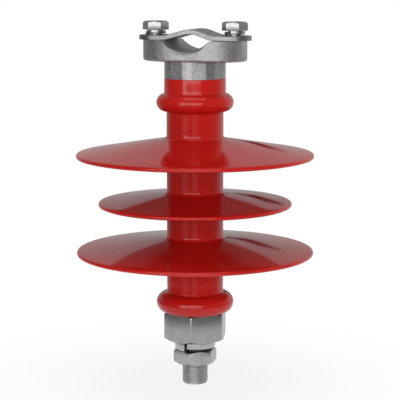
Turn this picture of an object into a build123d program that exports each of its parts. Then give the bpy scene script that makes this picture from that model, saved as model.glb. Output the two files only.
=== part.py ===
from build123d import *
import os
from math import atan, cos, hypot, radians, sin, tan

# Composite pin-post insulator with a clamp top, in millimetres, at its real size.
# +Z is the insulator's axis, and the origin is the centre of the stud's lower end.
# The conductor lies along Y, between the two keeper bolts, which stand on X.

# --- Mounting stud and its fasteners -------------------------------------------------------
stud_d = 16.0  # M16 x 1.5, screwed into the base fitting
stud_root_d = 14.5  # where the stud is engaged in a thread, both pieces meet at the tapping diameter
stud_point = 0.6  # chamfer at both ends of the stud
stud_tail = 13.0  # stud that shows below the nut
stud_grip = 12.0  # stud that is screwed into the base fitting
stud_hole_spare = 1.0  # tapped hole left above the stud
nut_across_flats = 24.0
nut_height = 9.2
nut_turn = 4.0  # degrees from -Y to a corner of the nut
stud_washer_width = 4.1  # radial width of the wire of the stud's heavy lock washer
stud_washer_thickness = 4.8
stud_washer_height = 6.3
stud_washer_gap = 0.45  # radial, between the stud and the washer
stud_washer_split = -8.0  # degrees from -Y to the middle of the washer's split

# --- Hexagonal base fitting ----------------------------------------------------------------
base_across_flats = 36.0
base_height = 17.1
base_turn = 13.0  # degrees from -Y to a corner of the hexagon
base_corner_share = 1.0  # its corners are chamfered less than those of the fasteners
base_barrel_r = 15.0
base_barrel_height = 24.0  # round barrel that the core is fixed in

# --- Glass-fibre core ----------------------------------------------------------------------
core_r = 12.0

# --- Silicone-rubber housing ---------------------------------------------------------------
trunk_r = 17.4
lower_bead_r = 6.3  # the round of the sealing bead that stands on the hexagon
lower_bead_ring_r = 17.6  # circle that the middle of this bead follows
lower_bead_lift = 6.2  # from the top of the hexagon to the middle of the bead
upper_bead_r = 5.5
upper_bead_ring_r = 18.1
bead_crease = 0.8  # fillet where a bead meets the trunk or the cuff
large_shed_d = 146.0
small_shed_d = 119.0
lower_shed_lift = 31.5  # from the lower bead to the lowest shed's rim
shed_pitch = 30.0
shed_rim_r = 1.3
shed_top_slope = 12.0  # degrees, falling towards the rim
shed_under_slope = 6.0
shed_top_fillet = 3.0
shed_under_fillet = 2.0
upper_bead_lift = 32.7  # from the top shed's rim to the middle of the upper bead
cuff_r = 18.8
cuff_height = 14.7  # from the middle of the upper bead to the cuff's end

# --- Clamp body: barrel, crimped collar and saddle in one casting ---------------------------
clamp_barrel_r = 16.0
clamp_barrel_drop = 3.5  # how far the barrel's mouth is below the middle of the upper bead
collar_height = 10.5
crimp_count = 8
crimp_flat_r = 18.3  # from the axis to the flat that each crimping jaw leaves
crimp_turn = 50.0  # degrees from -Y to a ridge between two crimps
core_cover = 1.2  # how far the core's end stays below the saddle's underside
saddle_width = 40.0
saddle_flat = 16.0  # length of its two flat sides
saddle_nose = 24.6  # how far each rounded end stands past them
saddle_height = 12.5
saddle_foot_fillet = 1.5
groove_r = 20.8
groove_depth = 6.4
groove_mouth_r = 2.5  # rounding of the groove's two mouths
groove_mouth_lip = 0.15  # the rounding leaves a crisp lip on the saddle's sides

# --- Keeper and its bolts ------------------------------------------------------------------
keeper_length = 71.2
keeper_width = 23.0
keeper_thickness = 2.9
keeper_rise = 4.5  # how far the crest's underside stands above the ears
keeper_wave_left = 15.6  # from the axis to the foot of the raised part
keeper_wave_right = 13.8
keeper_crest_x = 1.1  # the crest is pressed slightly off the middle
keeper_crest_bend_r = 16.0
keeper_foot_bend_r = 20.0
keeper_edge_fillet = 0.4
bolt_d = 8.0  # M8
bolt_root_d = 6.8  # tapping diameter
bolt_x = 25.5
bolt_grip = 9.5  # bolt that is screwed into the saddle
bolt_hole_spare = 1.0  # tapped hole left below the bolt
bolt_hole_clearance = 0.5  # radial, between a bolt and the keeper's hole
bolt_point = 1.0
bolt_across_flats = 14.0
bolt_head_height = 5.3
left_bolt_turn = -15.0  # degrees from -Y to a corner of the head
right_bolt_turn = -23.0
bolt_washer_wire = 2.1  # square wire
bolt_washer_height = 3.1
bolt_washer_gap = 0.15
left_washer_split = -38.0
right_washer_split = -12.0

# --- Details that fasteners share ------------------------------------------------------------
corner_slope = 30.0  # chamfer on the corners of every hexagon
corner_share = 0.95  # the chamfer starts at this share of the flats' radius
washer_turn = 351.0  # degrees of wire in a lock washer
washer_bite = 0.12  # how much the washer's two ends are flattened

# --- Heights, stacked up from the end of the stud ---------------------------------------------
nut_z = stud_tail
stud_washer_z = nut_z + nut_height
base_z = stud_washer_z + stud_washer_height
base_top_z = base_z + base_height
barrel_top_z = base_top_z + base_barrel_height
stud_top_z = base_z + stud_grip
lower_bead_z = base_top_z + lower_bead_lift
lower_shed_z = lower_bead_z + lower_shed_lift
middle_shed_z = lower_shed_z + shed_pitch
upper_shed_z = middle_shed_z + shed_pitch
upper_bead_z = upper_shed_z + upper_bead_lift
cuff_top_z = upper_bead_z + cuff_height
clamp_mouth_z = upper_bead_z - clamp_barrel_drop
saddle_z = cuff_top_z + collar_height
saddle_top_z = saddle_z + saddle_height
core_top_z = saddle_z - core_cover
keeper_top_z = saddle_top_z + keeper_thickness
bolt_head_z = keeper_top_z + bolt_washer_height
bolt_end_z = saddle_top_z - bolt_grip

FROM_FLOOR = (Align.CENTER, Align.CENTER, Align.MIN)


def drum(radius, low, high, x=0.0):
    """A plain cylinder along Z between two heights."""
    return Pos(x, 0, low) * Cylinder(radius, high - low, align=FROM_FLOOR)


def block(x_low, x_high, z_low, z_high):
    """A rectangle in a turned profile: radii along X, heights along Y."""
    return Pos(x_low, z_low) * Rectangle(x_high - x_low, z_high - z_low, align=(Align.MIN, Align.MIN))


def turned(profile):
    """The solid of revolution of a profile whose X is the radius and whose Y is the height."""
    return revolve(Plane.XZ * profile, Axis.Z)


def rod(diameter, low, high, point_low, point_high, x=0.0):
    """A round bar along Z, chamfered at the ends that are asked for."""
    r = diameter / 2
    outline = [(0, low), (r - point_low, low)]
    if point_low:
        outline.append((r, low + point_low))
    if point_high:
        outline.append((r, high - point_high))
    outline += [(r - point_high, high), (0, high)]
    return Pos(x, 0, 0) * turned(make_face(Polyline(*outline, close=True)))


def hexagon(across_flats, low, high, turn, chamfer_low, chamfer_high, share=corner_share, x=0.0):
    """A hexagonal bar with a corner `turn` degrees from -Y, its corners chamfered at the ends that are asked for."""
    corner_r = across_flats / 2 / cos(radians(30))
    start_r = across_flats / 2 * share
    drop = (corner_r - start_r) * tan(radians(corner_slope))
    bar = extrude(Pos(0, 0, low) * Rot(0, 0, turn - 90) * RegularPolygon(corner_r, 6), high - low)
    outline = [(0, low), (start_r if chamfer_low else corner_r, low)]
    if chamfer_low:
        outline.append((corner_r, low + drop))
    if chamfer_high:
        outline.append((corner_r, high - drop))
    outline += [(start_r if chamfer_high else corner_r, high), (0, high)]
    return Pos(x, 0, 0) * (bar & turned(make_face(Polyline(*outline, close=True))))


def lock_washer(bore_d, gap, width, thickness, low, height, split, x=0.0):
    """A split spring washer: one left-hand turn of wire, its two ends flattened on their seats."""
    middle_r = bore_d / 2 + gap + width / 2
    rise = height - thickness + 2 * washer_bite
    coil = Helix(pitch=rise * 360 / washer_turn, height=rise, radius=middle_r, lefthand=True)
    start = Plane(origin=coil @ 0, x_dir=(1, 0, 0), z_dir=coil % 0)
    ring = sweep(start * Rectangle(width, thickness), path=coil, is_frenet=True)
    ring = Pos(0, 0, thickness / 2 - washer_bite) * ring
    ring = ring & Cylinder(middle_r + width, height, align=FROM_FLOOR)
    half_split = (360 - washer_turn) / 2
    return Pos(x, 0, low) * Rot(0, 0, split - 90 - half_split) * ring


def is_along(edge, axis):
    """True for a straight edge that is parallel to an axis."""
    return edge.geom_type == GeomType.LINE and abs((edge % 0.5).dot(axis.direction)) > 0.999


def shed(diameter, height):
    """Profile of one shed: two cones that end in a round rim."""
    rim_x = diameter / 2 - shed_rim_r
    top, under = radians(shed_top_slope), radians(shed_under_slope)
    top_x, top_z = rim_x + shed_rim_r * sin(top), height + shed_rim_r * cos(top)
    under_x, under_z = rim_x - shed_rim_r * sin(under), height - shed_rim_r * cos(under)
    top_root = (core_r, top_z + (top_x - core_r) * tan(top))
    under_root = (core_r, under_z + (under_x - core_r) * tan(under))
    blade = make_face(Polyline(top_root, (top_x, top_z), (under_x, under_z), under_root, close=True))
    return blade + Pos(rim_x, height) * Circle(shed_rim_r)


def make_housing():
    """One silicone moulding: the trunk, three sheds, two sealing beads and the cuff round the clamp's barrel."""
    sheds = ((large_shed_d, lower_shed_z), (small_shed_d, middle_shed_z), (large_shed_d, upper_shed_z))
    profile = block(0, trunk_r, base_top_z, upper_bead_z) + block(0, cuff_r, upper_bead_z, cuff_top_z)
    profile += Pos(lower_bead_ring_r, lower_bead_z) * Circle(lower_bead_r)
    profile += Pos(upper_bead_ring_r, upper_bead_z) * Circle(upper_bead_r)
    for diameter, height in sheds:
        profile += shed(diameter, height)
    profile -= block(0, lower_bead_ring_r + lower_bead_r, base_top_z - lower_bead_r, base_top_z)

    def corners(radius, low, high):
        """Corners of the profile at a radius, between two heights."""
        return [v for v in profile.vertices() if abs(v.X - radius) < 1e-4 and low < v.Y < high]

    for _, height in sheds:
        roots = sorted(corners(trunk_r, height, height + shed_pitch * 0.7), key=lambda v: v.Y)
        profile = fillet(roots[-1], shed_top_fillet)
        roots = sorted(corners(trunk_r, height, height + shed_pitch * 0.7), key=lambda v: v.Y)
        profile = fillet(roots[0], shed_under_fillet)
    profile = fillet(corners(trunk_r, lower_bead_z, lower_bead_z + 2 * lower_bead_r), bead_crease)
    profile = fillet(corners(trunk_r, upper_bead_z - 2 * upper_bead_r, upper_bead_z), bead_crease)
    profile = fillet(corners(cuff_r, upper_bead_z, upper_bead_z + 2 * upper_bead_r), bead_crease)

    profile -= block(0, core_r, base_top_z, cuff_top_z)
    profile -= block(0, base_barrel_r, base_top_z, barrel_top_z)
    profile -= block(0, clamp_barrel_r, clamp_mouth_z, cuff_top_z)
    return turned(profile)


def make_core_rod():
    """Pultruded glass-fibre rod, sealed inside the housing and the two metal ends."""
    return drum(core_r, base_top_z, core_top_z)


def make_base_fitting():
    """Steel end: a hexagon with a tapped hole below, and a barrel that holds the core above."""
    body = hexagon(base_across_flats, base_z, base_top_z, base_turn, True, False, base_corner_share)
    body += drum(base_barrel_r, base_top_z, barrel_top_z)
    body -= drum(core_r, base_top_z, barrel_top_z)
    body -= drum(stud_root_d / 2, base_z, stud_top_z + stud_hole_spare)
    return body


def make_mounting_stud():
    """Double-ended M16 stud: full diameter where it is bare, root diameter inside the nut and the fitting."""
    stud = rod(stud_d, 0, nut_z, stud_point, 0)
    stud += drum(stud_root_d / 2, nut_z, stud_washer_z)
    stud += drum(stud_d / 2, stud_washer_z, base_z)
    return stud + rod(stud_root_d, base_z, stud_top_z, 0, stud_point)


def make_stud_nut():
    """Thin M16 nut that locks the stud."""
    nut = hexagon(nut_across_flats, nut_z, nut_z + nut_height, nut_turn, True, True)
    return nut - drum(stud_root_d / 2, nut_z, nut_z + nut_height)


def groove_tool():
    """The space of the conductor groove: a cylinder along Y that opens into a rounded mouth at each end."""
    mouth_y = saddle_width / 2 + groove_mouth_lip
    flare_y = mouth_y - groove_mouth_r
    flare_r = groove_r + groove_mouth_r
    flare = block(groove_r, flare_r, flare_y, mouth_y) - Pos(flare_r, flare_y) * Circle(groove_mouth_r)
    half = turned(block(0, groove_r, 0, mouth_y) + flare + block(0, flare_r, mouth_y, saddle_width))
    tool = half + mirror(half, Plane.XY)
    return Pos(0, 0, saddle_top_z - groove_depth + groove_r) * Rot(90, 0, 0) * tool


def make_clamp_body():
    """One casting: the saddle with its conductor groove, the crimped collar and the barrel in the cuff."""
    plan = Rectangle(saddle_flat, saddle_width)
    for x in (-saddle_flat / 2, saddle_flat / 2):
        plan += Pos(x, 0) * Ellipse(saddle_nose, saddle_width / 2)
    saddle = extrude(Pos(0, 0, saddle_z) * plan, saddle_height)
    saddle = fillet(saddle.edges().group_by(Axis.Z)[0], saddle_foot_fillet)
    saddle -= groove_tool()

    octagon = RegularPolygon(crimp_flat_r, crimp_count, major_radius=False)
    jaws = extrude(Pos(0, 0, cuff_top_z) * Rot(0, 0, crimp_turn - 90) * octagon, collar_height)
    body = saddle + (drum(cuff_r, cuff_top_z, saddle_z) & jaws)
    body += drum(clamp_barrel_r, clamp_mouth_z, cuff_top_z)
    body -= drum(core_r, clamp_mouth_z, core_top_z)
    for x in (-bolt_x, bolt_x):
        body -= drum(bolt_root_d / 2, bolt_end_z - bolt_hole_spare, saddle_top_z, x)
    return body


def make_keeper():
    """Pressed strip that bridges the groove, with a raised middle and two round ears."""
    end = keeper_length / 2
    left_bend = atan(keeper_rise / (keeper_wave_left + keeper_crest_x))
    right_bend = atan(keeper_rise / (keeper_wave_right - keeper_crest_x))
    crest_tilt = (left_bend - right_bend) / 2
    crest_lift = keeper_thickness / cos((left_bend + right_bend) / 2)
    under = [(-keeper_wave_left, 0), (keeper_crest_x, keeper_rise), (keeper_wave_right, 0)]
    over = [
        (keeper_wave_right + keeper_thickness * tan(right_bend / 2), keeper_thickness),
        (keeper_crest_x - crest_lift * sin(crest_tilt), keeper_rise + crest_lift * cos(crest_tilt)),
        (-keeper_wave_left - keeper_thickness * tan(left_bend / 2), keeper_thickness),
    ]
    outline = [(-end, 0)] + under + [(end, 0), (end, keeper_thickness)] + over + [(-end, keeper_thickness)]
    strip = make_face(Polyline(*outline, close=True))
    half = keeper_thickness / 2
    bends = [
        (keeper_foot_bend_r + half, (under[0], under[2])),
        (keeper_foot_bend_r - half, (over[0], over[2])),
        (keeper_crest_bend_r - half, (under[1],)),
        (keeper_crest_bend_r + half, (over[1],)),
    ]
    for radius, corners in bends:
        for x, z in corners:
            strip = fillet([v for v in strip.vertices() if hypot(v.X - x, v.Y - z) < 1e-4], radius)
    plate = extrude(Plane.XZ * strip, keeper_width / 2, both=True)
    plate &= extrude(SlotOverall(keeper_length, keeper_width), keeper_rise + 2 * keeper_thickness)
    edges = [e for e in plate.edges() if not is_along(e, Axis.Y) and not is_along(e, Axis.Z)]
    plate = fillet(edges, keeper_edge_fillet)
    for x in (-bolt_x, bolt_x):
        plate -= drum(bolt_d / 2 + bolt_hole_clearance, 0, keeper_thickness, x)
    return Pos(0, 0, saddle_top_z) * plate


def make_bolt(x, turn):
    """M8 hexagon-head bolt with its point down in the saddle."""
    head = hexagon(bolt_across_flats, bolt_head_z, bolt_head_z + bolt_head_height, turn, False, True, x=x)
    shank = drum(bolt_d / 2, saddle_top_z, bolt_head_z, x)
    return head + shank + rod(bolt_root_d, bolt_end_z, saddle_top_z, bolt_point, 0, x)


def make_bolt_washer(x, split):
    """Split washer between a bolt's head and the keeper."""
    wire, height = bolt_washer_wire, bolt_washer_height
    return lock_washer(bolt_d, bolt_washer_gap, wire, wire, keeper_top_z, height, split, x)


def make_stud_washer():
    """Split washer between the nut and the base fitting."""
    width, thickness, height = stud_washer_width, stud_washer_thickness, stud_washer_height
    return lock_washer(stud_d, stud_washer_gap, width, thickness, stud_washer_z, height, stud_washer_split)


parts = {
    "housing": make_housing(),
    "core_rod": make_core_rod(),
    "base_fitting": make_base_fitting(),
    "mounting_stud": make_mounting_stud(),
    "stud_nut": make_stud_nut(),
    "stud_lock_washer": make_stud_washer(),
    "clamp_body": make_clamp_body(),
    "clamp_keeper": make_keeper(),
    "clamp_bolt_left": make_bolt(-bolt_x, left_bolt_turn),
    "clamp_bolt_right": make_bolt(bolt_x, right_bolt_turn),
    "clamp_washer_left": make_bolt_washer(-bolt_x, left_washer_split),
    "clamp_washer_right": make_bolt_washer(bolt_x, right_washer_split),
}

os.makedirs("parts", exist_ok=True)
for name, shape in parts.items():
    export_step(shape, "parts/" + name + ".step")
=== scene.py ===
"""Composite pin-post insulator: the looks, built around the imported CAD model.

Pieces are measured in millimetres until a mesh is made. The studio and the camera are in metres.
"""

import math

import bpy
from mathutils import Euler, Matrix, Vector


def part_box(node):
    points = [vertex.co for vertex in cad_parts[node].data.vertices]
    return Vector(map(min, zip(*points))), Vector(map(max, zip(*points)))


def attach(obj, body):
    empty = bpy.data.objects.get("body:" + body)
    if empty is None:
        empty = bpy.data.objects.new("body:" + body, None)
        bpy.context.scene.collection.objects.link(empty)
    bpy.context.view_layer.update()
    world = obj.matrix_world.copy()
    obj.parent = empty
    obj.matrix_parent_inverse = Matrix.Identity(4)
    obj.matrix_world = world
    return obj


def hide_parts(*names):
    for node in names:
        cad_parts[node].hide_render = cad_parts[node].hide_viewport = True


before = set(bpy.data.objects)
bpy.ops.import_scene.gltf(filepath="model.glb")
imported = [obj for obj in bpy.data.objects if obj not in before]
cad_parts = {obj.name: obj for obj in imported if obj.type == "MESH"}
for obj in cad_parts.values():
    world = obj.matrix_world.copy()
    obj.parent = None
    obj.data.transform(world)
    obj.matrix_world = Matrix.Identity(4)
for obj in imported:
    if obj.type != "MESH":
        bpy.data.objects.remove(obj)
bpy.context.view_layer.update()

MM = 0.001
TAU = 2 * math.pi


# ---------------------------------------------------------------------------------------------
# Where the CAD pieces are, in millimetres
# ---------------------------------------------------------------------------------------------
def span(node):
    """A CAD node's lowest and highest corners, in millimetres."""
    low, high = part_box(node)
    return low / MM, high / MM


STUD, NUT, BASE = span("mounting_stud"), span("stud_nut"), span("base_fitting")
HOUSING, CLAMP, WASHER_RIGHT = span("housing"), span("clamp_body"), span("clamp_washer_right")

STUD_R, STUD_TOP = STUD[1].x, STUD[1].z
NUT_Z, NUT_TOP = NUT[0].z, NUT[1].z
BASE_Z, BASE_BARREL_TOP = BASE[0].z, BASE[1].z
HOUSING_Z, CUFF_TOP = HOUSING[0].z, HOUSING[1].z
SADDLE_TOP = CLAMP[1].z
BOLT_X = (WASHER_RIGHT[0].x + WASHER_RIGHT[1].x) / 2


# ---------------------------------------------------------------------------------------------
# Mesh making
# ---------------------------------------------------------------------------------------------
def add_object(name, mesh, material):
    """Puts a mesh into the scene as an object of one material."""
    piece = bpy.data.objects.new(name, mesh)
    bpy.context.scene.collection.objects.link(piece)
    mesh.materials.append(material)
    return piece


def finish_piece(name, verts, faces, material, nodes, sharp, wear_and_highlight=None):
    """Makes a named mesh object from millimetres, rides it on the root body and hides the CAD nodes it
    stands in for.

    sharp: edges steeper than this, in degrees, aren't smoothed. The last argument gives how bright each vert
    is painted, 0 to 1: partly rubbed metal, partly a painted highlight on edges and crests.
    """
    mesh = bpy.data.meshes.new(name)
    mesh.from_pydata([(x * MM, y * MM, z * MM) for x, y, z in verts], [], faces)
    mesh.validate()
    if wear_and_highlight:
        layer = mesh.attributes.new("wear_and_highlight", "FLOAT", "POINT")
        layer.data.foreach_set("value", wear_and_highlight)
    mesh.polygons.foreach_set("use_smooth", [True] * len(mesh.polygons))
    mesh.update()
    mesh.set_sharp_from_angle(angle=math.radians(sharp))
    piece = add_object(name, mesh, material)
    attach(piece, "root")
    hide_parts(*nodes)
    return piece


def lathe(stations, segments, x=0.0, closed=True):
    """Verts, faces and painted edge brightness of a turned shape whose axis stands at x.

    Each station gives a radius, a height and a painted brightness, partly rubbed metal and partly a painted
    highlight, for an angle, which runs anticlockwise from -Y.
    """
    verts, faces, wear_and_highlight = [], [], []
    for station in stations:
        for i in range(segments):
            angle = TAU * i / segments
            r, z, worn_and_lit = station(angle)
            verts.append((x + r * math.sin(angle), -r * math.cos(angle), z))
            wear_and_highlight.append(worn_and_lit)
    count = len(stations)
    loops = count if closed else count - 1
    for s in range(loops):
        low, high = s * segments, ((s + 1) % count) * segments
        for i in range(segments):
            j = (i + 1) % segments
            faces.append((low + i, low + j, high + j, high + i))
    return verts, faces, wear_and_highlight


def ring(r, z, wear_and_highlight=0.0):
    """A round station."""
    return lambda angle: (r, z, wear_and_highlight)


def arc(cx, cz, r, start, end, steps):
    """Points along an arc in the profile plane, its ends included; degrees from the outward radius."""
    points = []
    for i in range(steps + 1):
        a = math.radians(start + (end - start) * i / steps)
        points.append((cx + r * math.cos(a), cz + r * math.sin(a)))
    return points


def straight(start, end, steps):
    """Points after start, up to end."""
    return [
        (start[0] + (end[0] - start[0]) * i / steps, start[1] + (end[1] - start[1]) * i / steps)
        for i in range(1, steps + 1)
    ]


# ---------------------------------------------------------------------------------------------
# Materials
# ---------------------------------------------------------------------------------------------
def math_node(tree, kind, a, b):
    """The output of a math node; a and b are sockets or numbers."""
    node = tree.nodes.new("ShaderNodeMath")
    node.operation = kind
    for socket, value in zip(node.inputs, (a, b)):
        if isinstance(value, bpy.types.NodeSocket):
            tree.links.new(value, socket)
        else:
            socket.default_value = value
    return node.outputs[0]


class Nodes:
    """A short way to write a procedural material."""

    def __init__(self, name):
        self.material = bpy.data.materials.new(name)
        self.material.use_nodes = True
        self.tree = self.material.node_tree
        self.shader = self.tree.nodes["Principled BSDF"]
        self.where = self.tree.nodes.new("ShaderNodeTexCoord").outputs["Object"]

    def link(self, a, b):
        self.tree.links.new(a, b)

    def put(self, socket, value):
        if isinstance(value, bpy.types.NodeSocket):
            self.link(value, socket)
        else:
            socket.default_value = value

    def scaled(self, x, y, z):
        node = self.tree.nodes.new("ShaderNodeMapping")
        node.inputs["Scale"].default_value = (x, y, z)
        self.link(self.where, node.inputs["Vector"])
        return node.outputs["Vector"]

    def noise(self, scale, detail, rough, where=None, distortion=0.0):
        node = self.tree.nodes.new("ShaderNodeTexNoise")
        node.inputs["Scale"].default_value = scale
        node.inputs["Detail"].default_value = detail
        node.inputs["Roughness"].default_value = rough
        node.inputs["Distortion"].default_value = distortion
        self.link(where or self.where, node.inputs["Vector"])
        return node.outputs["Fac"]

    def cells(self, scale, output="Distance"):
        node = self.tree.nodes.new("ShaderNodeTexVoronoi")
        node.inputs["Scale"].default_value = scale
        self.link(self.where, node.inputs["Vector"])
        return node.outputs[output]

    def ramp(self, value, stops):
        """Stops are places and colours; a single number as the colour is a grey."""
        node = self.tree.nodes.new("ShaderNodeValToRGB")
        while len(node.color_ramp.elements) < len(stops):
            node.color_ramp.elements.new(0.5)
        for element, (place, colour) in zip(node.color_ramp.elements, stops):
            element.position = place
            element.color = (*colour, 1) if hasattr(colour, "__len__") else (colour, colour, colour, 1)
        self.link(value, node.inputs["Fac"])
        return node.outputs["Color"]

    def times(self, a, b):
        return math_node(self.tree, "MULTIPLY", a, b)

    def mix(self, share, a, b, blend="MIX"):
        node = self.tree.nodes.new("ShaderNodeMix")
        node.data_type = "RGBA"
        node.blend_type = blend
        self.put(node.inputs["Factor"], share)
        for socket, value in ((node.inputs["A"], a), (node.inputs["B"], b)):
            self.put(socket, value if isinstance(value, bpy.types.NodeSocket) else (*value, 1))
        return node.outputs["Result"]

    def attribute(self, name):
        node = self.tree.nodes.new("ShaderNodeAttribute")
        node.attribute_name = name
        return node.outputs["Fac"]

    def height(self, value, strength, distance, below=None):
        """Bumps from a value, on top of the bumps below."""
        node = self.tree.nodes.new("ShaderNodeBump")
        node.inputs["Strength"].default_value = strength
        node.inputs["Distance"].default_value = distance
        self.link(value, node.inputs["Height"])
        if below:
            self.link(below, node.inputs["Normal"])
        return node.outputs["Normal"]

    def done(self, colour, roughness, normal, **constants):
        self.put(self.shader.inputs["Base Color"], colour)
        self.put(self.shader.inputs["Roughness"], roughness)
        self.link(normal, self.shader.inputs["Normal"])
        for name, value in constants.items():
            self.shader.inputs[name].default_value = value
        return self.material


def silicone():
    """Moulded silicone rubber: glossy brick red, handled here and there, with a little pale dust."""
    m = Nodes("silicone_brick_red")
    deep_red, bright_red, dust_colour = (0.43, 0.0080, 0.0052), (0.50, 0.0105, 0.0070), (0.62, 0.33, 0.29)
    colour = m.ramp(m.noise(18, 3, 0.55), [(0.3, deep_red), (0.7, bright_red)])
    grain = m.ramp(m.noise(900, 4, 0.6), [(0.3, 0.93), (0.75, 1.0)])
    grained = m.mix(1.0, colour, grain, blend="MULTIPLY")
    dust = m.ramp(m.cells(520), [(0.0, 1.0), (0.055, 0.0)])
    dusted = m.mix(m.times(dust, 0.12), grained, dust_colour)
    handled = m.noise(55, 4, 0.65, distortion=0.6)
    rough = m.ramp(handled, [(0.32, 0.07), (0.55, 0.10), (0.78, 0.16)])
    normal = m.height(m.noise(1500, 2, 0.5), 0.05, 0.00004)
    normal = m.height(m.noise(28, 2, 0.5), 0.05, 0.0003, normal)
    return m.done(dusted, rough, normal, IOR=1.41)


def zinc(name, light, middle, dark, crystal_scale, rough_low, rough_high):
    """Zinc plating: cloudy, finely grained, its edges painted bright, partly as rubbed metal and partly as a
    painted highlight.
    """
    m = Nodes(name)
    dirt_colour, rubbed_and_highlight_colour = (0.16, 0.15, 0.13), (0.80, 0.80, 0.78)
    cloud = m.noise(95, 5, 0.62, distortion=0.4)
    grain = m.noise(1400, 3, 0.6)
    base = m.ramp(cloud, [(0.25, dark), (0.52, middle), (0.78, light)])
    crystals = m.times(m.cells(crystal_scale, output="Color"), 0.9)
    base = m.mix(0.12, base, m.ramp(crystals, [(0.1, 0.10), (0.8, 0.50)]))
    dirt = m.ramp(m.noise(260, 4, 0.7), [(0.58, 0.0), (0.74, 1.0)])
    base = m.mix(m.times(dirt, 0.30), base, dirt_colour)
    # Edges, corners and thread crests painted bright: partly rubbed metal, partly a painted highlight
    base = m.mix(m.times(m.attribute("wear_and_highlight"), 0.55), base, rubbed_and_highlight_colour)
    rough = m.ramp(grain, [(0.3, rough_low), (0.75, rough_high)])
    normal = m.height(grain, 0.10, 0.00003)
    normal = m.height(cloud, 0.12, 0.00020, normal)
    return m.done(base, rough, normal, Metallic=1.0)


def casting():
    """Sand-cast aluminium: mottled, with a blasted grain and a few pits, whose dark specks are painted
    shade.
    """
    m = Nodes("clamp_sand_casting")
    cloud = m.noise(48, 5, 0.66, distortion=0.7)
    grain = m.noise(620, 4, 0.7)
    mottle = m.ramp(cloud, [(0.30, (0.30, 0.295, 0.31)), (0.50, (0.42, 0.415, 0.425)), (0.72, 0.60)])
    speckle = m.ramp(grain, [(0.30, 0.20), (0.52, (0.46, 0.455, 0.46)), (0.80, 0.80)])
    base = m.mix(0.52, mottle, speckle)
    # Dark specks where pits would be: painted shade in holes that the mesh doesn't have
    pit_shade = m.ramp(m.cells(430), [(0.0, 1.0), (0.12, 0.0)])
    base = m.mix(m.times(pit_shade, 0.45), base, (0.12, 0.115, 0.11))
    rough = m.ramp(grain, [(0.25, 0.34), (0.80, 0.58)])
    normal = m.height(grain, 0.60, 0.00040)
    normal = m.height(m.noise(150, 3, 0.5), 0.35, 0.0010, normal)
    return m.done(base, rough, normal, Metallic=0.92)


def glass_fibre():
    """Pultruded rod: straight fibres in a pale resin."""
    m = Nodes("core_glass_fibre")
    strands = m.noise(1, 4, 0.6, where=m.scaled(900, 900, 14))
    base = m.ramp(strands, [(0.3, (0.46, 0.43, 0.26)), (0.7, (0.70, 0.68, 0.50))])
    normal = m.height(strands, 0.3, 0.0002)
    return m.done(base, m.ramp(strands, [(0.3, 0.45), (0.7, 0.62)]), normal)


SILICONE = silicone()
# Zinc plates: light, middle and dark colour (one number is a grey), scale of the crystals, and the
# lowest and highest roughness
FITTING_ZINC = zinc(
    "fitting_zinc_plate", (0.37, 0.385, 0.375), (0.28, 0.295, 0.285), (0.20, 0.215, 0.205), 420, 0.26, 0.40
)
NUT_ZINC = zinc(
    "nut_zinc_plate", (0.44, 0.45, 0.44), (0.34, 0.35, 0.34), (0.25, 0.26, 0.25), 480, 0.26, 0.40
)
STUD_ZINC = zinc(
    "stud_zinc_plate", (0.60, 0.61, 0.60), (0.48, 0.49, 0.48), (0.36, 0.37, 0.36), 520, 0.28, 0.42
)
SPRING_ZINC = zinc("spring_zinc_plate", (0.52, 0.52, 0.51), (0.40, 0.40, 0.39), 0.28, 600, 0.26, 0.40)
KEEPER_ZINC = zinc("keeper_zinc_plate", 0.44, 0.34, 0.25, 360, 0.32, 0.50)
BOLT_ZINC = zinc("bolt_zinc_plate", 0.48, 0.37, 0.26, 700, 0.28, 0.42)
CASTING = casting()
FIBRE = glass_fibre()


# ---------------------------------------------------------------------------------------------
# Silicone housing: the turned profile, sampled finely enough to reflect cleanly
# ---------------------------------------------------------------------------------------------
TRUNK_R, CUFF_R = 17.4, 18.8
CORE_R, BASE_BARREL_R, CLAMP_BARREL_R = 12.0, 15.0, 16.0
# Beads: the radius and the height of the round's centre, and the round's own radius
LOWER_BEAD = (17.6, HOUSING_Z + 6.2, 6.3)
UPPER_BEAD = (18.1, CUFF_TOP - 14.7, 5.5)
BEAD_CREASE = 0.8
CUFF_EDGE = 0.45
CLAMP_MOUTH = UPPER_BEAD[1] - 3.5
# The large sheds stay a hair inside the CAD housing
LARGE_SHED_R, SMALL_SHED_R = HOUSING[1].x - 0.03, 59.5
LOWEST_SHED_Z, SHED_PITCH = LOWER_BEAD[1] + 31.5, 30.0
RIM_R, TOP_FILLET, UNDER_FILLET = 1.3, 2.4, 2.0
# Each shed from the lowest up: its radius and the slope of its top, in degrees
SHEDS = ((LARGE_SHED_R, 7.8), (SMALL_SHED_R, 7.5), (LARGE_SHED_R, 9.8))
UNDER_SLOPE = 6.0
HOUSING_SEGMENTS = 288


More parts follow.
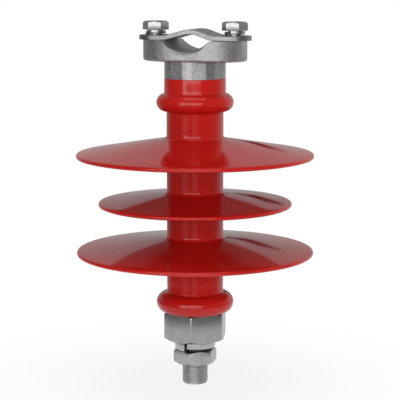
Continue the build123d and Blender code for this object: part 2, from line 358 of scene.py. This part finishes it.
def shed_points(radius, height, slope):
    """From the trunk under a shed, round its rim, and back to the trunk above it; slope in degrees."""
    fall, under = math.radians(slope), math.radians(UNDER_SLOPE)
    rim_x = radius - RIM_R
    under_x, under_z = rim_x - RIM_R * math.sin(under), height - RIM_R * math.cos(under)
    top_x, top_z = rim_x + RIM_R * math.sin(fall), height + RIM_R * math.cos(fall)
    cx = TRUNK_R + UNDER_FILLET
    cz = under_z + (under_x - cx) * math.tan(under) - UNDER_FILLET / math.cos(under)
    points = arc(cx, cz, UNDER_FILLET, 180, 90 - UNDER_SLOPE, 8)
    points += straight(points[-1], (under_x, under_z), 9)
    points += arc(rim_x, height, RIM_R, -90 - UNDER_SLOPE, 90 - slope, 18)[1:]
    cx = TRUNK_R + TOP_FILLET
    cz = top_z + (top_x - cx) * math.tan(fall) + TOP_FILLET / math.cos(fall)
    fillet = arc(cx, cz, TOP_FILLET, 270 - slope, 180, 10)
    points += straight(points[-1], fillet[0], 12)
    return points + fillet[1:]


def crease_centre(bead, wall_r, side):
    """Centre of the small fillet between a bead and the wall above it (side 1) or below it (side -1).

    The third value is its bearing from the bead's centre, in degrees.
    """
    cx, cz, r = bead
    x = wall_r + BEAD_CREASE
    z = cz + side * math.sqrt((r + BEAD_CREASE) ** 2 - (x - cx) ** 2)
    return x, z, math.degrees(math.atan2(z - cz, x - cx))


def housing_profile():
    """The outside from the lower bead to the cuff's top, then the inside down again."""
    cx, cz, r = LOWER_BEAD
    points = [(cx + math.sqrt(r * r - (cz - HOUSING_Z) ** 2), HOUSING_Z)]
    start = -math.degrees(math.asin((cz - HOUSING_Z) / r))
    x, z, top = crease_centre(LOWER_BEAD, TRUNK_R, 1)
    points += arc(cx, cz, r, start, top, 26)[1:]
    points += arc(x, z, BEAD_CREASE, top + 180, 180, 5)[1:]
    for i, (radius, slope) in enumerate(SHEDS):
        shed = shed_points(radius, LOWEST_SHED_Z + i * SHED_PITCH, slope)
        points += straight(points[-1], shed[0], 6) + shed[1:]
    cx, cz, r = UPPER_BEAD
    x, z, low = crease_centre(UPPER_BEAD, TRUNK_R, -1)
    crease = arc(x, z, BEAD_CREASE, 180, low + 180, 5)
    points += straight(points[-1], crease[0], 6) + crease[1:]
    x, z, top = crease_centre(UPPER_BEAD, CUFF_R, 1)
    points += arc(cx, cz, r, low, top, 26)[1:]
    points += arc(x, z, BEAD_CREASE, top + 180, 180, 5)[1:]
    points += straight(points[-1], (CUFF_R, CUFF_TOP - CUFF_EDGE), 4)
    points += arc(CUFF_R - CUFF_EDGE, CUFF_TOP - CUFF_EDGE, CUFF_EDGE, 0, 90, 4)[1:]
    for end, steps in (
        ((CLAMP_BARREL_R, CUFF_TOP), 1),
        ((CLAMP_BARREL_R, CLAMP_MOUTH), 2),
        ((CORE_R, CLAMP_MOUTH), 1),
        ((CORE_R, BASE_BARREL_TOP), 4),
        ((BASE_BARREL_R, BASE_BARREL_TOP), 1),
        ((BASE_BARREL_R, HOUSING_Z), 2),
    ):
        points += straight(points[-1], end, steps)
    return points


def make_housing():
    stations = [ring(r, z) for r, z in housing_profile()]
    verts, faces, _ = lathe(stations, HOUSING_SEGMENTS)
    return finish_piece("insulator_housing", verts, faces, SILICONE, ["housing"], 50)


# ---------------------------------------------------------------------------------------------
# Hexagons: fitting, nut and bolt heads, with softened edges and turned chamfers
# ---------------------------------------------------------------------------------------------
HEXAGON_SEGMENTS, BOLT_SEGMENTS = 360, 300
CHAMFER_FALL = math.tan(math.radians(30))
COS_30 = math.cos(math.radians(30))


def hexagon_radius(flat_r, corner_r, angle):
    """Outline of a hexagon with rounded corners; angle 0 points at a corner."""
    sector = math.radians(60)
    phi = abs((angle + sector / 2) % sector - sector / 2)
    centre_r = (flat_r - corner_r) / COS_30
    touch = math.atan2(corner_r * 0.5, centre_r + corner_r * COS_30)
    if phi < touch:
        return centre_r * math.cos(phi) + math.sqrt(corner_r**2 - (centre_r * math.sin(phi)) ** 2)
    return flat_r / math.cos(math.radians(30) - phi)


def hexagon_stations(across, low, high, turn, share, chamfers, corner, edge):
    """Stations from the lower face's edge, up the sides, to the upper face's edge.

    share: how much of the width across flats each face keeps flat. chamfers: whether the lower and the
    upper face are turned down to a cone beyond that. corner and edge: sizes of the rounded corners and
    of the rubbed edges, which are painted bright, partly as rubbing and partly as a painted highlight.
    """
    flat_r, turn = across / 2, math.radians(turn)
    start_r = flat_r * share
    rim_r, rim_drop = start_r - 0.35, 0.03

    def side(inset, drop, upper, wear_and_highlight):
        cone = chamfers[1] if upper else chamfers[0]

        def station(angle):
            r = hexagon_radius(flat_r, corner, angle - turn) - inset
            cut = (max(0.0, r + inset - start_r) * CHAMFER_FALL if cone else 0.0) + drop
            return r, (high - cut) if upper else (low + cut), wear_and_highlight

        return station

    bottom = [ring(rim_r, low), ring(start_r, low + rim_drop)] if chamfers[0] else []
    top = [ring(start_r, high - rim_drop), ring(rim_r, high)] if chamfers[1] else []
    # The rounded edges are painted bright: partly rubbed metal, partly a painted highlight
    lower = [side(edge, 0, False, 0.4), side(edge * 0.25, edge * 0.3, False, 1.0), side(0, edge, False, 0.3)]
    upper = [side(0, edge, True, 0.3), side(edge * 0.25, edge * 0.3, True, 1.0), side(edge, 0, True, 0.4)]
    return bottom + lower + upper + top


def hole_mouth(face_z, width, inward):
    """Chamfer of the stud's hole, painted bright partly as rubbing and partly as a painted highlight, from
    inside the hole out to the face; inward is 1 or -1.
    """
    return [
        ring(STUD_R, face_z + inward * (width + 0.1)),
        ring(STUD_R + width - 0.3, face_z + inward * 0.05, 0.5),
        ring(STUD_R + width, face_z),
    ]


def make_base():
    """Base fitting: hexagon, tapped hole below, and the barrel that grips the core inside the housing."""
    hole_r, hole_start, hole_top = 7.2, BASE_Z + 2.0, BASE_Z + 13.0
    stations = hole_mouth(BASE_Z, 0.9, 1)
    stations += hexagon_stations(36.0, BASE_Z, HOUSING_Z, 13.0, 1.0, (True, False), 0.7, 0.35)
    stations += [ring(r, z) for r, z in (
        (BASE_BARREL_R + 0.3, HOUSING_Z),
        (BASE_BARREL_R, HOUSING_Z + 0.3),
        (BASE_BARREL_R, BASE_BARREL_TOP),
        (CORE_R, BASE_BARREL_TOP),
        (CORE_R, HOUSING_Z),
        (hole_r, HOUSING_Z),
        (hole_r, hole_top),
        (hole_r, hole_start),
    )]
    verts, faces, wear_and_highlight = lathe(stations, HEXAGON_SEGMENTS)
    return finish_piece("base_hexagon", verts, faces, FITTING_ZINC, ["base_fitting"], 38, wear_and_highlight)


def make_nut():
    stations = hole_mouth(NUT_Z, 0.8, 1)
    stations += hexagon_stations(24.0, NUT_Z, NUT_TOP, 4.0, 0.95, (True, True), 0.5, 0.28)
    stations += reversed(hole_mouth(NUT_TOP, 0.8, -1))
    verts, faces, wear_and_highlight = lathe(stations, HEXAGON_SEGMENTS)
    return finish_piece("stud_hex_nut", verts, faces, NUT_ZINC, ["stud_nut"], 38, wear_and_highlight)


def thread_radius(major, pitch, z, angle):
    """Radius of an ISO right-hand thread at a height and an angle."""
    turns = (z / pitch - angle / TAU) % 1.0
    from_crest = min(turns, 1 - turns)
    share = min(1.0, max(0.0, 1 - (from_crest - 1 / 16) / (5 / 16)))
    return major - 0.6134 * pitch * (1 - share)


def make_stud():
    """Threaded stud: threaded up to just inside the base fitting, plain and hidden above."""
    pitch, depth, rows_per_turn = 1.5, 0.92, 14
    thread_top = BASE_Z + 1.0
    plain_r, point_r, dimple_r = 7.15, STUD_R - 1.0, 1.2
    rows = round(thread_top / pitch * rows_per_turn)

    def row(z):
        def station(angle):
            r = thread_radius(STUD_R - 0.04, pitch, z, angle)
            crest = (r - (STUD_R - depth)) / depth
            # Thread crests painted bright: partly rubbed metal, partly a painted highlight
            return min(r, point_r + z / 0.6 * 0.55), z, max(0.0, crest) * 0.8

        return station

    stations = [ring(dimple_r, 0.35), ring(dimple_r + 0.4, 0.0, 0.3), ring(point_r - 0.25, 0.0, 0.4)]
    stations += [row(0.05 + thread_top * i / rows) for i in range(rows + 1)]
    stations += [ring(plain_r, thread_top + 0.2), ring(plain_r, STUD_TOP - 0.6)]
    stations += [ring(plain_r - 0.6, STUD_TOP), ring(dimple_r, STUD_TOP)]
    verts, faces, wear_and_highlight = lathe(stations, 128)
    return finish_piece("threaded_stud", verts, faces, STUD_ZINC, ["mounting_stud"], 60, wear_and_highlight)


def make_bolt(name, node, centre_x, turn):
    """Hexagon-head bolt; the shank shows only between the washer's ends."""
    low, high = span(node)
    head_z, head_top, point = high.z - 5.3, high.z, low.z
    shank_r, tapped_r, axis_r = 4.0, 3.4, 0.4
    stations = hexagon_stations(14.0, head_z, head_top, turn, 0.95, (False, True), 0.35, 0.22)
    stations += [ring(4.6, head_top), ring(4.2, head_top - 0.16, 0.2), ring(axis_r, head_top - 0.2)]
    stations += [ring(axis_r, point), ring(tapped_r - 1.0, point), ring(tapped_r, point + 1.0)]
    stations += [ring(tapped_r, SADDLE_TOP), ring(shank_r, SADDLE_TOP)]
    stations += [ring(shank_r, head_z - 0.3), ring(shank_r + 0.3, head_z)]
    verts, faces, wear_and_highlight = lathe(stations, BOLT_SEGMENTS, x=centre_x)
    return finish_piece(name, verts, faces, BOLT_ZINC, [node], 38, wear_and_highlight)


# ---------------------------------------------------------------------------------------------
# Split washers: square wire with rubbed corners painted bright, partly as rubbing and partly as a painted
# highlight, cut off clean at both ends
# ---------------------------------------------------------------------------------------------
def wire_section(wide, half, soft):
    """Corner points of a square wire from its middle, each corner a quarter round of radius soft."""
    section = []
    for k, (sx, sz) in enumerate(((1, -1), (1, 1), (-1, 1), (-1, -1))):
        for step in range(4):
            a = math.radians(-90 + 90 * k + 30 * step)
            x, z = soft * math.cos(a), soft * math.sin(a)
            section.append((sx * (wide - soft) + x, sz * (half - soft) + z))
    return section


def make_split_washer(name, node, bore_r, width, thickness, split, centre_x=0.0, soft=0.3):
    """One turn of square wire, cut open at a bearing of split degrees, anticlockwise from -Y."""
    low, high = span(node)
    turn, bite, rows = 351.0, 0.12, 150
    middle_r, half = bore_r + width / 2, thickness / 2
    rise = high.z - low.z - thickness + 2 * bite
    section = wire_section(width / 2, half, soft)
    count = len(section)
    verts, faces, wear_and_highlight = [], [], []
    for i in range(rows + 1):
        share = i / rows
        angle = math.radians(split + (360 - turn) / 2 + turn * (1 - share))
        z = low.z + half - bite + rise * share
        scale = 1 - (0.25 if i in (0, rows) else 0.0) * soft / half
        for k, (dx, dz) in enumerate(section):
            r = middle_r + dx * scale
            height = min(high.z, max(low.z, z + dz * scale))
            verts.append((centre_x + r * math.sin(angle), -r * math.cos(angle), height))
            # The wire's corners painted bright: partly rubbed metal, partly a painted highlight
            wear_and_highlight.append(0.9 if k % 4 in (1, 2) else 0.25)
    for i in range(rows):
        for k in range(count):
            a, b = i * count + k, i * count + (k + 1) % count
            faces.append((a, b, b + count, a + count))
    faces.append(tuple(reversed(range(count))))
    faces.append(tuple(rows * count + k for k in range(count)))
    return finish_piece(name, verts, faces, SPRING_ZINC, [node], 40, wear_and_highlight)


# ---------------------------------------------------------------------------------------------
# The pieces
# ---------------------------------------------------------------------------------------------
make_housing()
make_base()
make_nut()
make_stud()
make_split_washer("stud_split_washer", "stud_lock_washer", STUD_R + 0.45, 4.1, 4.8, -8.0)
make_split_washer("keeper_washer_left", "clamp_washer_left", 4.15, 2.1, 2.1, -38.0, -BOLT_X, 0.22)
make_split_washer("keeper_washer_right", "clamp_washer_right", 4.15, 2.1, 2.1, -12.0, BOLT_X, 0.22)
make_bolt("keeper_bolt_left", "clamp_bolt_left", -BOLT_X, -15.0)
make_bolt("keeper_bolt_right", "clamp_bolt_right", BOLT_X, -23.0)

for node, material in (("core_rod", FIBRE), ("clamp_body", CASTING), ("clamp_keeper", KEEPER_ZINC)):
    for material_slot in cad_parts[node].material_slots:
        material_slot.material = material


# ---------------------------------------------------------------------------------------------
# Studio: pale floor, white background, soft lamps, and what only reflections see
# ---------------------------------------------------------------------------------------------
CAMERA_TURN = math.radians(20.0)
RIGHT = Vector((math.cos(CAMERA_TURN), math.sin(CAMERA_TURN), 0))
FORWARD = Vector((-math.sin(CAMERA_TURN), math.cos(CAMERA_TURN), 0))
AIM_HEIGHT = 0.12


def matt(name, level, roughness):
    """A grey without any gloss."""
    material = bpy.data.materials.new(name)
    material.use_nodes = True
    paint = material.node_tree.nodes["Principled BSDF"]
    paint.inputs["Base Color"].default_value = (level, level, level, 1)
    paint.inputs["Roughness"].default_value = roughness
    paint.inputs["Specular IOR Level"].default_value = 0.0
    return material


def white_for_the_eye(tree, plain, white, strength=1.0):
    """A shader that is `white` to the camera and to reflections, and `plain` to everything else."""
    path = tree.nodes.new("ShaderNodeLightPath")
    seen = math_node(tree, "MAXIMUM", path.outputs["Is Camera Ray"], path.outputs["Is Glossy Ray"])
    seen = math_node(tree, "MAXIMUM", seen, path.outputs["Is Transmission Ray"])
    mix = tree.nodes.new("ShaderNodeMixShader")
    tree.links.new(math_node(tree, "MULTIPLY", seen, strength), mix.inputs["Fac"])
    tree.links.new(plain, mix.inputs[1])
    tree.links.new(white, mix.inputs[2])
    return mix.outputs[0]


def make_world():
    """Cool, dim light all round, seen as plain white."""
    world = bpy.data.worlds.new("studio")
    world.use_nodes = True
    bpy.context.scene.world = world
    tree = world.node_tree
    ambient = tree.nodes["Background"]
    ambient.inputs["Color"].default_value = (0.93, 0.95, 1.0, 1)
    ambient.inputs["Strength"].default_value = 0.50
    white = tree.nodes.new("ShaderNodeBackground")
    white.inputs["Color"].default_value = (1, 1, 1, 1)
    white.inputs["Strength"].default_value = 1.0
    shown = white_for_the_eye(tree, ambient.outputs[0], white.outputs[0])
    tree.links.new(shown, tree.nodes["World Output"].inputs["Surface"])


def make_floor():
    """A pale floor that keeps the object's shadow close by and fades to plain white further out."""
    reach, sunk = 30.0, 0.0002
    corners = [(-reach, -reach, 0), (reach, -reach, 0), (reach, reach, 0), (-reach, reach, 0)]
    mesh = bpy.data.meshes.new("floor")
    mesh.from_pydata(corners, [], [(0, 1, 2, 3)])
    material = matt("floor_pale", 0.86, 0.9)
    floor = add_object("floor", mesh, material)
    floor.location.z = -sunk
    tree = material.node_tree
    glow = tree.nodes.new("ShaderNodeEmission")
    glow.inputs["Strength"].default_value = 1.0
    where = tree.nodes.new("ShaderNodeTexCoord")
    distance = tree.nodes.new("ShaderNodeVectorMath")
    distance.operation = "LENGTH"
    tree.links.new(where.outputs["Object"], distance.inputs[0])
    far = tree.nodes.new("ShaderNodeMapRange")
    far.interpolation_type = "SMOOTHSTEP"
    for name, value in (("From Min", 0.01), ("From Max", 0.20), ("To Min", 0.82), ("To Max", 1.0)):
        far.inputs[name].default_value = value
    tree.links.new(distance.outputs["Value"], far.inputs["Value"])
    paint = tree.nodes["Principled BSDF"]
    shown = white_for_the_eye(tree, paint.outputs[0], glow.outputs[0], far.outputs["Result"])
    tree.links.new(shown, tree.nodes["Material Output"].inputs["Surface"])


def make_lamp(name, turn, rise, distance, size, power, reflected=True):
    """A soft lamp that faces the object.

    turn: degrees from the camera's side, positive to its right. rise: degrees above the horizon.
    """
    data = bpy.data.lights.new(name, "AREA")
    data.shape = "RECTANGLE"
    data.size, data.size_y = size
    data.energy = power
    bearing, lift = CAMERA_TURN + math.radians(turn), math.radians(rise)
    aim = Vector((0, 0, AIM_HEIGHT))
    flat, above = distance * math.cos(lift), distance * math.sin(lift)
    lamp = bpy.data.objects.new(name, data)
    bpy.context.scene.collection.objects.link(lamp)
    lamp.location = aim + Vector((flat * math.sin(bearing), -flat * math.cos(bearing), above))
    lamp.rotation_euler = (aim - lamp.location).to_track_quat("-Z", "Y").to_euler()
    lamp.visible_camera = False
    lamp.visible_glossy = reflected


# Brightness of the studio's walls at turns from the camera's side, in degrees, positive to its right
WALL_SHADES = (
    (-180, 0.42), (-160, 0.46), (-133, 0.38), (-116, 0.20), (-100, 0.13), (-58, 0.13), (-48, 0.50),
    (-30, 0.50), (-24, 0.13), (-13, 0.13), (-9, 0.55), (5, 0.55), (10, 0.13), (66, 0.13), (96, 0.38),
    (110, 0.65), (124, 0.80), (150, 0.60), (168, 0.42), (180, 0.42),
)
CEILING_SHADE, CEILING_START, CEILING_FADE = 0.22, 28, 25


def room_shade(turn, rise):
    """How bright the studio is at a turn from the camera's side and a rise, in degrees."""
    wall = WALL_SHADES[-1][1]
    for (t0, s0), (t1, s1) in zip(WALL_SHADES, WALL_SHADES[1:]):
        if t0 <= turn <= t1:
            wall = s0 + (s1 - s0) * (turn - t0) / (t1 - t0)
    ceiling = min(1.0, max(0.0, (rise - CEILING_START) / CEILING_FADE))
    return wall * (1 - ceiling) + CEILING_SHADE * ceiling


def make_room():
    """Studio floor, walls and ceiling that only reflections see; they glow instead of being lit, and their
    bright bands are painted highlights.
    """
    columns, wall_r, floor_z, ceiling_z = 120, 2.4, 0.001, 3.0
    rows = [(r, floor_z) for r in (0.3, 0.5, 0.9, 1.5, wall_r)]
    for rise in (5, 12, 20, 28, 36, 45):
        rows.append((wall_r, AIM_HEIGHT + wall_r * math.tan(math.radians(rise))))
    rows += [(1.4, ceiling_z - 0.1), (0.6, ceiling_z), (0.01, ceiling_z)]
    verts, faces, _ = lathe([ring(r, z) for r, z in rows], columns, closed=False)
    shades = []
    for r, z in rows:
        rise = math.degrees(math.atan2(z - AIM_HEIGHT, r))
        for i in range(columns):
            turn = (360 * i / columns - math.degrees(CAMERA_TURN) + 180) % 360 - 180
            shades.append(room_shade(turn, rise))
    mesh = bpy.data.meshes.new("room")
    mesh.from_pydata(verts, [], faces)
    shade = mesh.attributes.new("shade", "FLOAT", "POINT")
    shade.data.foreach_set("value", shades)
    material = bpy.data.materials.new("room_reflection_glow")
    material.use_nodes = True
    tree = material.node_tree
    tree.nodes.remove(tree.nodes["Principled BSDF"])
    glow = tree.nodes.new("ShaderNodeEmission")
    level = tree.nodes.new("ShaderNodeAttribute")
    level.attribute_name = "shade"
    tree.links.new(level.outputs["Fac"], glow.inputs["Strength"])
    tree.links.new(glow.outputs[0], tree.nodes["Material Output"].inputs["Surface"])
    room = add_object("room", mesh, material)
    room.visible_camera = room.visible_diffuse = room.visible_shadow = False


def make_flag():
    """A leaning black strip behind the object, which only reflections see."""
    behind = 1.0
    # How far each corner is to the camera's right, and how high
    outline = ((0.066, 0.19), (0.100, 0.19), (0.170, 0.345), (0.138, 0.345))
    corners = [FORWARD * behind + RIGHT * across + Vector((0, 0, height)) for across, height in outline]
    mesh = bpy.data.meshes.new("black_flag")
    mesh.from_pydata([tuple(corner) for corner in corners], [], [(0, 1, 2, 3)])
    flag = add_object("black_flag", mesh, matt("flag_black", 0.01, 0.95))
    flag.visible_camera = flag.visible_diffuse = flag.visible_shadow = False


make_world()
make_floor()
make_lamp("front_softbox", turn=-4, rise=12, distance=1.8, size=(1.8, 0.9), power=12)
make_lamp("left_softbox", turn=-38, rise=8, distance=1.6, size=(0.42, 0.6), power=2.8)
make_lamp("right_fill", turn=58, rise=12, distance=1.8, size=(1.3, 1.0), power=9, reflected=False)
make_lamp("back_fill", turn=180, rise=22, distance=1.8, size=(1.6, 0.8), power=5, reflected=False)
make_lamp("top_softbox", turn=0, rise=80, distance=1.6, size=(1.2, 0.8), power=5)
make_room()
make_flag()


# ---------------------------------------------------------------------------------------------
# Camera: a long lens, a little above the object, tilted down
# ---------------------------------------------------------------------------------------------
CAMERA_DISTANCE, CAMERA_SHIFT, CAMERA_HEIGHT = 0.9271, 0.00305, 0.2588
CAMERA_TILT = math.radians(8.79)

camera_data = bpy.data.cameras.new("camera")
camera = bpy.data.objects.new("camera", camera_data)
bpy.context.scene.collection.objects.link(camera)
camera_data.sensor_width = 36.0
camera_data.lens = 136.962
camera_data.clip_start, camera_data.clip_end = 0.05, 60.0
camera.location = RIGHT * CAMERA_SHIFT - FORWARD * CAMERA_DISTANCE + Vector((0, 0, CAMERA_HEIGHT))
camera.rotation_euler = Euler((math.radians(90) - CAMERA_TILT, 0.0, CAMERA_TURN))
bpy.context.scene.camera = camera
bpy.context.scene.view_settings.view_transform = "Standard"
